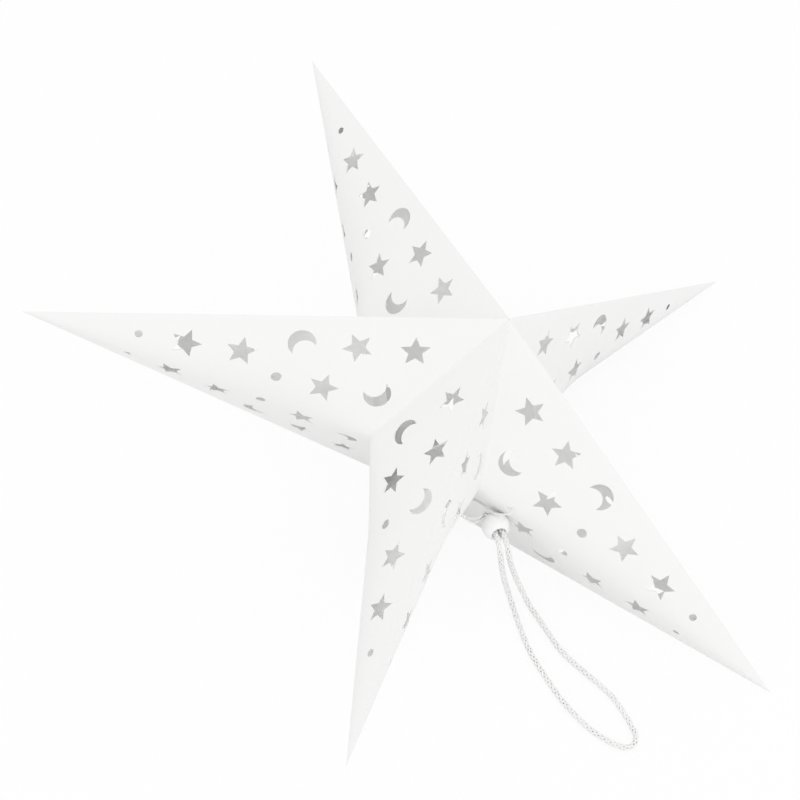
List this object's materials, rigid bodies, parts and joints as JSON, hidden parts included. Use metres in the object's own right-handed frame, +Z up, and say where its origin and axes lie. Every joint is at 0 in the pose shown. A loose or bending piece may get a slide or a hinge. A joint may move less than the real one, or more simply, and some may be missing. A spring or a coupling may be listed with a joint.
{
  "type": "paper star ornament",
  "caption": "Folded white card star with punched stars, moons and dots, lying on its back apex and two tips, with a bead and a looped hanging cord.",
  "frame": {"origin": "on the surface that the star lies on, under the middle of its outline", "axes": "+Z up from the surface, +Y towards the top arm, +X towards the side whose two tips touch the surface"},
  "size_m": [0.3928, 0.451, 0.1636],
  "materials": {
    "card": "smooth matte white card",
    "string": "thin twisted white string",
    "bead": "semi-gloss white plastic",
    "cord": "knitted white cord"
  },
  "bodies": {
    "root": {"left_arm": "card", "top_arm": "card", "right_arm": "card", "lower_right_arm": "card", "lower_left_arm": "card", "tie_string": "string", "cord_bead": "bead", "hanging_loop": "cord"}
  },
  "joints": []
}
